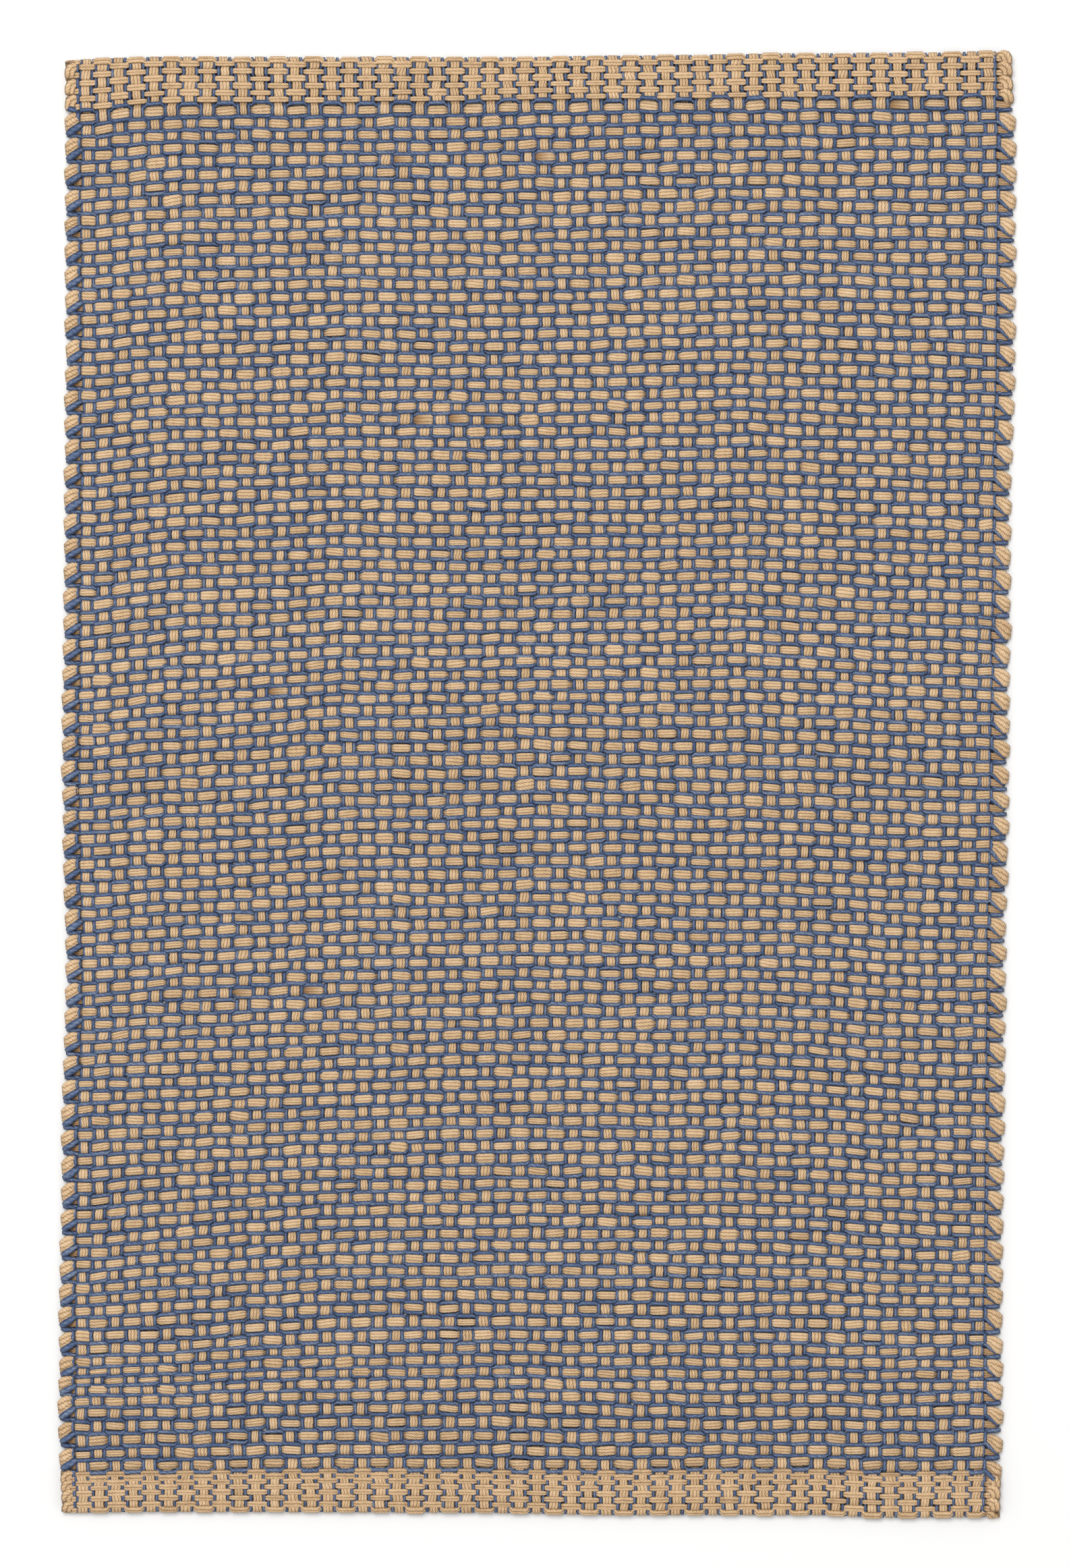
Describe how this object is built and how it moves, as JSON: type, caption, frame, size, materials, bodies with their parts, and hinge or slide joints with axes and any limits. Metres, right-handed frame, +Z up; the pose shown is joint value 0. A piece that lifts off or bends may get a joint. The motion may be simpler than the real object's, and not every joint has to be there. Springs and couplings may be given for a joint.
{
  "type": "jute rug",
  "caption": "Flat rectangular handwoven rug in natural and blue-dyed jute, with turned selvedges and a folded hem at each end.",
  "frame": {"origin": "middle of the rug's bounding rectangle, on its underside", "axes": "+X across the rug from left to right, +Y along it towards the top end of the picture, +Z up from the floor"},
  "size_m": [0.6044, 0.9196, 0.0074],
  "materials": {
    "natural_jute": "undyed spun jute yarn, matt and slightly hairy",
    "blue_jute": "jute yarn dyed mid blue, matt"
  },
  "bodies": {
    "root": {"rug": "natural_jute"}
  },
  "joints": []
}
